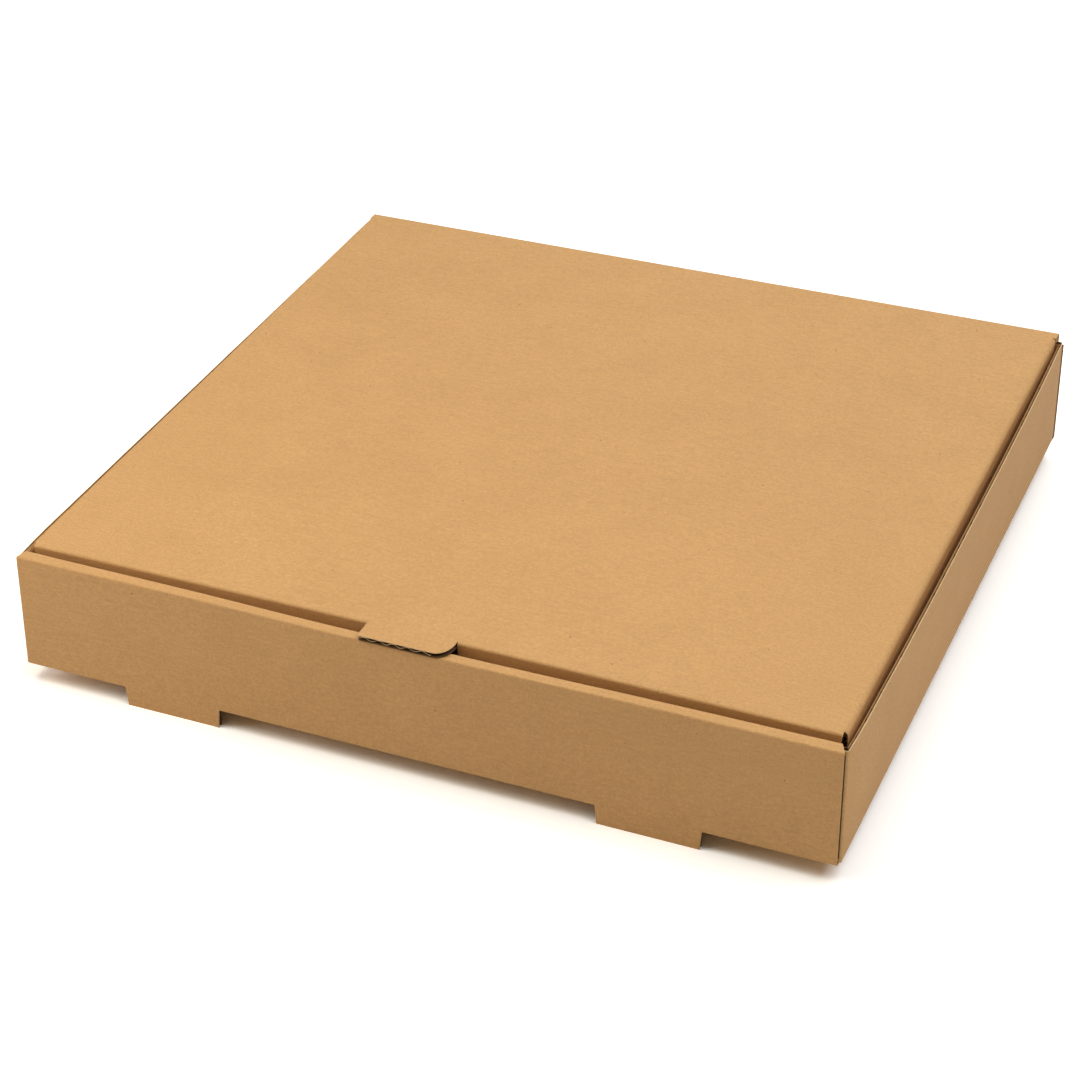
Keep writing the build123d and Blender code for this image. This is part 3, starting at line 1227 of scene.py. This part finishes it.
@dataclass
class LidPanel(BoardPiece):
    """Lid panel with its front flap, side flaps and thumb tab.

    Attributes:
        fold_y: Where the front fold's outer face lies behind the front face.
        fold_radius: Radius of the front fold.
        side_radii: Radii of the left and the right fold.
        front_gaps: How far the front flap stops short of the lid's left and right side.
        flap_depth: How far the flaps reach below the lid's top.
        front_lean: How far the front flap leans back at its lower edge.
        front_taper: How much shorter the front flap is at each lower corner.
        side_lean: How far a side flap leans in at its lower edge.
        side_taper: How much shorter a side flap is at each lower corner.
        end_gap: Room between a side flap and the rear corner flap.
        tab: Ends of the thumb tab along X.
        tab_reach: How far the tab reaches in front of the front wall.
        tab_round: Radius of the tab's right corner.
        tab_chamfer: Size of the chamfer on its left corner.
        tab_kerf: Width of the cut beside the tab.
        drop: How far the lid's front corners hang below its middle.
        tab_segments: Number of segments in the tab's rounded corner.
        tab_crush: Share of the wave's height that is pressed flat at the tab's edge.
        wander: How far the panel wavers towards its front.
        wander_rate: How many times it does so in a metre.
        station: Distance between the lines at which the panel can bow.
    """

    name: str = "lid_panel"
    fold_y: float = 0.0093
    fold_radius: float = 0.0012
    side_radii: tuple[float, float] = (0.0010, 0.0027)
    front_gaps: tuple[float, float] = (0.0013, 0.0018)
    flap_depth: float = 0.042
    front_lean: float = 0.0032
    front_taper: float = 0.008
    side_lean: float = 0.003
    side_taper: float = 0.009
    end_gap: float = 0.0012
    tab: tuple[float, float] = (-0.0210, 0.0180)
    tab_reach: float = 0.0003
    tab_round: float = 0.009
    tab_chamfer: float = 0.0009
    tab_kerf: float = 0.0003
    drop: float = 0.00065
    tab_segments: int = 10
    tab_crush: float = 0.3
    wander: float = 0.0001
    wander_rate: float = 30.0
    station: float = 0.012

    @property
    def front(self) -> float:
        """Outer face of the front flap, at the fold."""
        return self.box.front + self.fold_y

    @property
    def side_front(self) -> float:
        """Front end of a side flap."""
        return self.front + self.layer

    @property
    def side_rear(self) -> float:
        """Rear end of a side flap."""
        return self.flap_rear - self.board.thickness - self.end_gap

    @property
    def seam(self) -> float:
        """Where the panel meets the hinge crease."""
        return self.box.rear - self.box.seam_drop

    @property
    def hem(self) -> float:
        """Level of the flaps' lower edges."""
        return self.box.lid_top - self.flap_depth

    def skin(self, bm: BMesh, ply: Ply) -> None:
        """Draw one ply of the lid."""
        box, board, cut = self.box, self.board, ply.recess
        left, right = cut - box.lid_half, box.lid_half - cut
        top = box.lid_top - ply.depth
        hem = self.hem + cut
        corners = [
            (self.front + self.front_lean + ply.depth, hem), (self.front + ply.depth, top),
            (self.seam, top),
        ]
        radius = board.radius_at(ply.depth, self.fold_radius)
        self.fold_sheet(bm, (left, right), corners, [radius])
        strips = [self.strip_at(side) for side in Side]
        tab_left, tab_right = self.tab[0] + cut, self.tab[1] - cut
        gap_left, gap_right = (
            self.tab[0] - self.tab_kerf - cut, self.tab[1] + self.tab_kerf + cut,
        )
        score(
            bm, AXIS_X, spaced(-strips[0], strips[1], self.station)
            + [-strips[0], strips[1], tab_left, tab_right, gap_left, gap_right],
        )
        root = self.front + ply.depth + radius
        notch = box.lid_top - self.tab_length - cut
        lines = [self.side_front, self.side_rear, root]
        score(bm, AXIS_Y, spaced(root, self.seam, self.station) + lines)
        score(bm, AXIS_Z, [notch])
        self.open_margins(bm, (gap_left, gap_right), root, notch)
        self.reach_tab(bm, ply, root, top)
        self.taper_front(bm, cut)
        for side in Side:
            self.fold_side(bm, ply, side)

    @property
    def tab_length(self) -> float:
        """Length of the tab in front of the fold, and of its notch in the flap."""
        return self.fold_y + self.tab_reach

    def radius_of(self, side: Side) -> float:
        """Radius of one side fold."""
        return self.side_radii[0 if side is Side.LEFT else 1]

    def strip_at(self, side: Side) -> float:
        """How far the flat panel reaches towards one side before its fold begins."""
        bend = max(self.radius_of(side), self.board.thickness)
        return self.box.lid_half - bend - self.board.least_radius

    def open_margins(self, bm: BMesh, gap: tuple[float, float], root: float, notch: float) -> None:
        """Leave the side folds to the side flaps and cut the notch under the tab.

        Args:
            bm: The sheet.
            gap: Ends of the notch along X.
            root: Where the notch starts in the panel, along Y.
            notch: The notch's lower edge.
        """
        level = self.box.lid_top - self.board.thickness

        def inside(place: Vector) -> bool:
            """Say whether a place is in a margin or in the notch."""
            in_side = self.side_front < place.y < self.side_rear and place.z > level
            if in_side and not -self.strip_at(Side.LEFT) < place.x < self.strip_at(Side.RIGHT):
                return True
            return gap[0] < place.x < gap[1] and place.y < root and place.z > notch

        punch(bm, inside)

    def reach_tab(self, bm: BMesh, ply: Ply, root: float, top: float) -> None:
        """Carry the panel forward into the thumb tab and shape its corners.

        Args:
            bm: The sheet.
            ply: The ply.
            root: Where the tab leaves the panel, along Y.
            top: Level of the sheet.
        """
        left, right = self.tab[0] + ply.recess, self.tab[1] - ply.recess
        rim = rim_edges(bm, lambda p: near(p.y, root) and near(p.z, top) and left < p.x < right)
        tip = self.box.front - self.tab_reach + ply.recess
        push(bm, rim, AXIS_Y * (tip - root))
        round_rim(bm, [Vector((right, tip, top))], self.tab_round - ply.recess, self.tab_segments)
        round_rim(bm, [Vector((left, tip, top))], self.tab_chamfer, 1)

    def taper_front(self, bm: BMesh, cut: float) -> None:
        """Slant the two ends of the front flap.

        Args:
            bm: The sheet.
            cut: The ply's recess.
        """
        box = self.box
        level = box.lid_top - self.fold_radius
        for side, gap in zip(Side, self.front_gaps):
            sign = side.value
            start = Vector((box.lid_half - gap, 0, level))
            run = Vector((box.lid_half - self.front_taper, 0, self.hem)) - start
            outwards = Vector((-run.z * sign, 0, run.x)).normalized()
            corner = Vector((start.x * sign, 0, start.z))
            behind = self.front + self.front_lean + self.board.thickness + TOUCH
            trim(
                bm, lambda p: p.y < behind and p.z < level and p.x * sign > 0,
                corner - outwards * cut, outwards,
            )
            trim(
                bm, lambda p: p.y < self.side_front and p.z > level - TOUCH and p.x * sign > 0,
                corner - AXIS_X * sign * cut, AXIS_X * sign,
            )

    def fold_side(self, bm: BMesh, ply: Ply, side: Side) -> None:
        """Add one side flap, folded down from the panel.

        Args:
            bm: The sheet.
            ply: The ply.
            side: Which side the flap is on.
        """
        box, board, sign = self.box, self.board, side.value
        cut = ply.recess
        top, hem = box.lid_top - ply.depth, self.hem + cut
        flap = bmesh.new()
        corners = [
            (self.strip_at(side), top), (box.lid_half - ply.depth, top),
            (box.lid_half - self.side_lean - ply.depth, hem),
        ]
        points = [Vector((x * sign, self.side_front, z)) for x, z in corners]
        radius = board.radius_at(ply.depth, self.radius_of(side))
        edges = rounded_path(flap, points, [radius], board.fold_segments)
        push(flap, edges, AXIS_Y * (self.side_rear - self.side_front))
        root = self.front + self.fold_radius
        score(flap, AXIS_Y, spaced(root, self.seam, self.station))
        under = box.lid_top - board.thickness
        for end, towards in ((self.side_front, -1), (self.side_rear, 1)):
            outwards = Vector((0, towards * self.flap_depth, -self.side_taper)).normalized()
            through = Vector((0, end, under)) - outwards * cut
            trim(flap, lambda p: p.z < under, through, outwards)
        take_in(bm, flap)

    def flutes(self, bm: BMesh) -> None:
        """Show the medium along the tab's front edge and the front flap's lower edge."""
        board, box = self.board, self.box
        middle = box.lid_top - board.thickness / 2
        tip = box.front - self.tab_reach + board.liner / 2
        start = Vector((self.tab[0] + self.tab_chamfer, tip, middle))
        rounded_share = 0.75
        end = Vector((self.tab[1] - self.tab_round * rounded_share, tip, middle))
        wave_edge(bm, start, end, AXIS_Z, AXIS_Y, board, crush=self.tab_crush)
        y = self.front + self.front_lean + board.thickness / 2
        half = box.lid_half - self.front_taper - board.recess
        low = self.hem + board.liner
        wave_edge(bm, Vector((-half, y, low)), Vector((half, y, low)), AXIS_Y, AXIS_Z, board)
        for side in Side:
            self.side_flutes(bm, side)

    def side_flutes(self, bm: BMesh, side: Side) -> None:
        """Close a side flap's lower edge and show the medium along its two ends.

        Args:
            bm: The mesh to add them to.
            side: Which side the flap is on.
        """
        board, sign = self.board, side.value
        under = self.box.lid_top - board.thickness
        top_x = self.box.lid_half - self.side_lean * board.thickness / self.flap_depth
        low_x = self.box.lid_half - self.side_lean
        ends = (self.side_front + self.side_taper, self.side_rear - self.side_taper)
        start, end = (Vector((sign * (low_x - board.liner), y, self.hem)) for y in ends)
        pitted_edge(bm, start, end, -AXIS_X * sign, AXIS_Z, board)
        middle = board.thickness / 2
        for near_y, far_y, inwards in (
            (self.side_front, ends[0], AXIS_Y), (self.side_rear, ends[1], -AXIS_Y),
        ):
            top = Vector((sign * (top_x - middle), near_y, under)) + inwards * board.liner
            low = Vector((sign * (low_x - middle), far_y, self.hem + board.liner))
            wave_edge(bm, top, low + inwards * board.liner, AXIS_X, inwards, board)

    def settle(self, place: Vector) -> Vector:
        """Let the lid's front corners hang a little below its middle."""
        share = min(1.0, abs(place.x) / self.box.lid_half)
        along = clamped((self.seam - place.y) / (self.seam - self.front))
        dip = self.drop * share * share * along
        wander = self.wander * along * (1 - noise.noise(place * self.wander_rate))
        return place - AXIS_Z * (dip + wander * share)


@dataclass
class HingeCrease(BoardPiece):
    """The bend between rear wall and lid panel.

    Attributes:
        reach: How far from the corner the two places given by bend_line lie.
        station: Distance between the lines scored along X.
        row: Distance between the lines at which it bends.
    """

    name: str = "hinge_crease"
    reach: float = 0.003
    station: float = 0.030
    row: float = 0.0008

    def skin(self, bm: BMesh, ply: Ply) -> None:
        """Draw one ply of the bend."""
        box = self.box
        left, right = ply.recess - box.lid_half, box.lid_half - ply.recess
        back, top = box.rear - ply.depth, box.lid_top - ply.depth
        low, near_y = box.lid_top - box.seam_drop, box.rear - box.seam_drop
        corners = [(back, low), (back, top), (near_y, top)]
        self.fold_sheet(bm, (left, right), corners, [self.board.radius_at(ply.depth)])
        score(bm, AXIS_X, spaced(left, right, self.station))
        steps = spaced(0.0, box.seam_drop - self.board.fold_radius, self.row)
        score(bm, AXIS_Z, [low + step for step in steps])
        score(bm, AXIS_Y, [near_y + step for step in steps])

    def bend_line(self) -> tuple[Vector, Vector]:
        """Two places on the bend's middle, at the reach below and in front of its corner."""
        middle_y = self.box.rear - self.board.thickness / 2
        middle_z = self.box.lid_top - self.board.thickness / 2
        start = Vector((0, middle_y, middle_z - self.reach))
        return start, Vector((0, middle_y - self.reach, middle_z))


# Floor, light and camera


@dataclass(frozen=True)
class SoftLamp:
    """A square area lamp that points at the box.

    Attributes:
        name: Name of the lamp.
        azimuth: Direction it stands in, in degrees from the front towards the right.
        elevation: Its height above the floor, in degrees.
        distance: Its distance from the box.
        width: Length of its sides.
        watts: Its power.
        tint: Its colour.
    """

    name: str
    azimuth: float
    elevation: float
    distance: float
    width: float
    watts: float
    tint: tuple[float, float, float] = (1.0, 1.0, 1.0)

    def hang(self) -> None:
        """Add the lamp to the scene."""
        light = bpy.data.lights.new(self.name, "AREA")
        light.shape = "SQUARE"
        light.size = self.width
        light.energy = self.watts
        light.color = self.tint
        lamp = bpy.data.objects.new(self.name, light)
        lamp.visible_camera = False
        direction = direction_at(self.azimuth, self.elevation)
        lamp.location = direction * self.distance
        lamp.rotation_euler = direction.to_track_quat("Z", "Y").to_euler()
        bpy.context.scene.collection.objects.link(lamp)


def direction_at(azimuth: float, elevation: float) -> Vector:
    """Unit vector from the box towards a viewpoint.

    Args:
        azimuth: Degrees from the front towards the right.
        elevation: Degrees above the horizon.

    Returns:
        The direction.
    """
    turn, rise = math.radians(azimuth), math.radians(elevation)
    level = math.cos(rise)
    return Vector((math.sin(turn) * level, -math.cos(turn) * level, math.sin(rise)))


@dataclass(frozen=True)
class Studio:
    """White floor, soft light from above and the photograph's camera.

    Attributes:
        floor_width: Length of the floor's sides.
        floor_tone: Linear brightness of the floor.
        floor_extra: How much brighter the camera sees the floor.
        floor_glow: Distances from the box between which the floor fades into white.
        ambient: Linear colour of the light from all round.
        lamps: The lamps.
        camera_place: Where the camera stands.
        azimuth: Its direction from the box, in degrees.
        elevation: Its height above the horizon, in degrees.
        roll: How far it is turned about its axis, in degrees.
        sensor: Width of the sensor, in millimetres.
        lens: Focal length, in millimetres.
        shift: Shift of the frame, as shares of its width.
    """

    floor_width: float = 12.0
    floor_tone: float = 0.93
    floor_extra: float = 0.45
    floor_glow: tuple[float, float] = (0.5, 1.6)
    ambient: tuple[float, float, float] = (0.130, 0.110, 0.076)
    lamps: tuple[SoftLamp, ...] = (
        SoftLamp("overhead_softbox", -90.0, 82.0, 2.0, 1.8, 9.0, (0.90, 0.975, 1.0)),
        SoftLamp("back_window", 180.0, 52.0, 1.7, 1.0, 11.0, (0.90, 0.96, 1.0)),
        SoftLamp("right_window", 80.0, 58.0, 1.7, 1.0, 14.0, (0.94, 0.97, 1.0)),
        SoftLamp("left_reflector", -60.0, 24.0, 0.75, 0.3, 1.25, (1.0, 0.97, 0.94)),
        SoftLamp("front_reflector", -35.0, 55.0, 0.9, 0.4, 1.7, (1.0, 0.92, 0.74)),
    )
    camera_place: tuple[float, float, float] = (0.390785, -0.960295, 0.680357)
    azimuth: float = 24.621
    elevation: float = 31.981
    roll: float = -1.61
    sensor: float = 36.0
    lens: float = 90.33
    shift: tuple[float, float] = (0.0648, -0.0363)

    def lay_floor(self) -> None:
        """Lay a pale floor that keeps the box's shadow."""
        bm = bmesh.new()
        bmesh.ops.create_grid(bm, x_segments=1, y_segments=1, size=self.floor_width / 2)
        mesh = bpy.data.meshes.new("floor")
        bm.to_mesh(mesh)
        bm.free()
        floor = bpy.data.objects.new("floor", mesh)
        bpy.context.scene.collection.objects.link(floor)
        mesh.materials.append(self.floor_material())

    def floor_material(self) -> Material:
        """Build the floor's matt white, which the camera sees brighter than it is.

        Returns:
            The material.
        """
        bench = ShaderBench("white_floor")
        bench.shader.inputs["Base Color"].default_value = (*(self.floor_tone,) * 3, 1)
        bench.shader.inputs["Roughness"].default_value = 1.0
        bench.shader.inputs["Specular IOR Level"].default_value = 0.0
        seen = bench.node("ShaderNodeLightPath").outputs["Is Camera Ray"]
        extra = bench.node("ShaderNodeBsdfDiffuse")
        tone = self.floor_tone * self.floor_extra
        bench.join(bench.ranged(seen, 0.0, 1.0, 0.0, tone), extra.inputs["Color"])
        distance = bench.node("ShaderNodeVectorMath", operation="LENGTH")
        bench.join(bench.coordinates((1, 1, 1)), distance.inputs[0])
        far = bench.ranged(distance.outputs["Value"], *self.floor_glow, 0.0, 1.0)
        glow = bench.node("ShaderNodeEmission")
        bench.join(bench.product([far, seen]), glow.inputs["Strength"])
        total = bench.shader.outputs[0]
        for part in (extra, glow):
            both = bench.node("ShaderNodeAddShader")
            bench.join(total, both.inputs[0])
            bench.join(part.outputs[0], both.inputs[1])
            total = both.outputs[0]
        bench.join(total, bench.output.inputs["Surface"])
        return bench.material

    def light_world(self) -> None:
        """Make the world white to the camera and soft to everything else."""
        world = bpy.data.worlds.new("studio")
        bpy.context.scene.world = world
        world.use_nodes = True
        nodes, links = world.node_tree.nodes, world.node_tree.links
        path = nodes.new("ShaderNodeLightPath")
        white = path.outputs["Is Camera Ray"]
        for ray in ("Is Glossy Ray", "Is Transmission Ray"):
            step = nodes.new("ShaderNodeMath")
            step.operation = "MAXIMUM"
            links.new(white, step.inputs[0])
            links.new(path.outputs[ray], step.inputs[1])
            white = step.outputs[0]
        blend = nodes.new("ShaderNodeMix")
        blend.data_type = "RGBA"
        low, high = (socket for socket in blend.inputs if socket.type == "RGBA")
        low.default_value = (*self.ambient, 1)
        high.default_value = (1, 1, 1, 1)
        links.new(white, blend.inputs["Factor"])
        colour = next(socket for socket in blend.outputs if socket.type == "RGBA")
        links.new(colour, nodes["Background"].inputs["Color"])

    def set_camera(self) -> None:
        """Put the camera at the photograph's viewpoint."""
        data = bpy.data.cameras.new("photo_view")
        data.sensor_width = self.sensor
        data.lens = self.lens
        data.shift_x, data.shift_y = self.shift
        data.clip_end = 10 * self.floor_width
        camera = bpy.data.objects.new("photo_view", data)
        camera.location = self.camera_place
        facing = direction_at(self.azimuth, self.elevation).to_track_quat("Z", "Y")
        turn = Quaternion(AXIS_Z, math.radians(self.roll))
        camera.rotation_euler = (facing @ turn).to_euler()
        bpy.context.scene.collection.objects.link(camera)
        bpy.context.scene.camera = camera

    def build(self) -> None:
        """Set up floor, lights, world and camera."""
        self.lay_floor()
        for lamp in self.lamps:
            lamp.hang()
        self.light_world()
        self.set_camera()
        bpy.context.scene.view_settings.view_transform = "Standard"


def main() -> None:
    """Build the box and its surroundings."""
    logging.basicConfig(level=logging.INFO, format="%(name)s %(message)s")
    box, board = BoxSizes.from_frame(), Board()
    tray_pieces = (
        FrontWall(box, board),
        BottomAndRear(box, board),
        SideWall(box, board, name="right_side_wall", side=Side.RIGHT),
        SideWall(
            box, board, name="left_side_wall", side=Side.LEFT,
            lean_front=0.0009, lean_rear=0.0001, bow=0.0,
        ),
    )
    for piece in tray_pieces:
        made = piece.build(KRAFT_BOARD)
        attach(made, "tray")
        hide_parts("tray")
    lid = LidPanel(box, board).build(KRAFT_BOARD)
    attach(lid, "lid")
    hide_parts("lid")
    crease = HingeCrease(box, board)
    bend = crease.build(replace(KRAFT_BOARD, medium=KRAFT_BOARD.liner))
    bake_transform(bend)
    Studio().build()


if __name__ == "__main__":
    main()
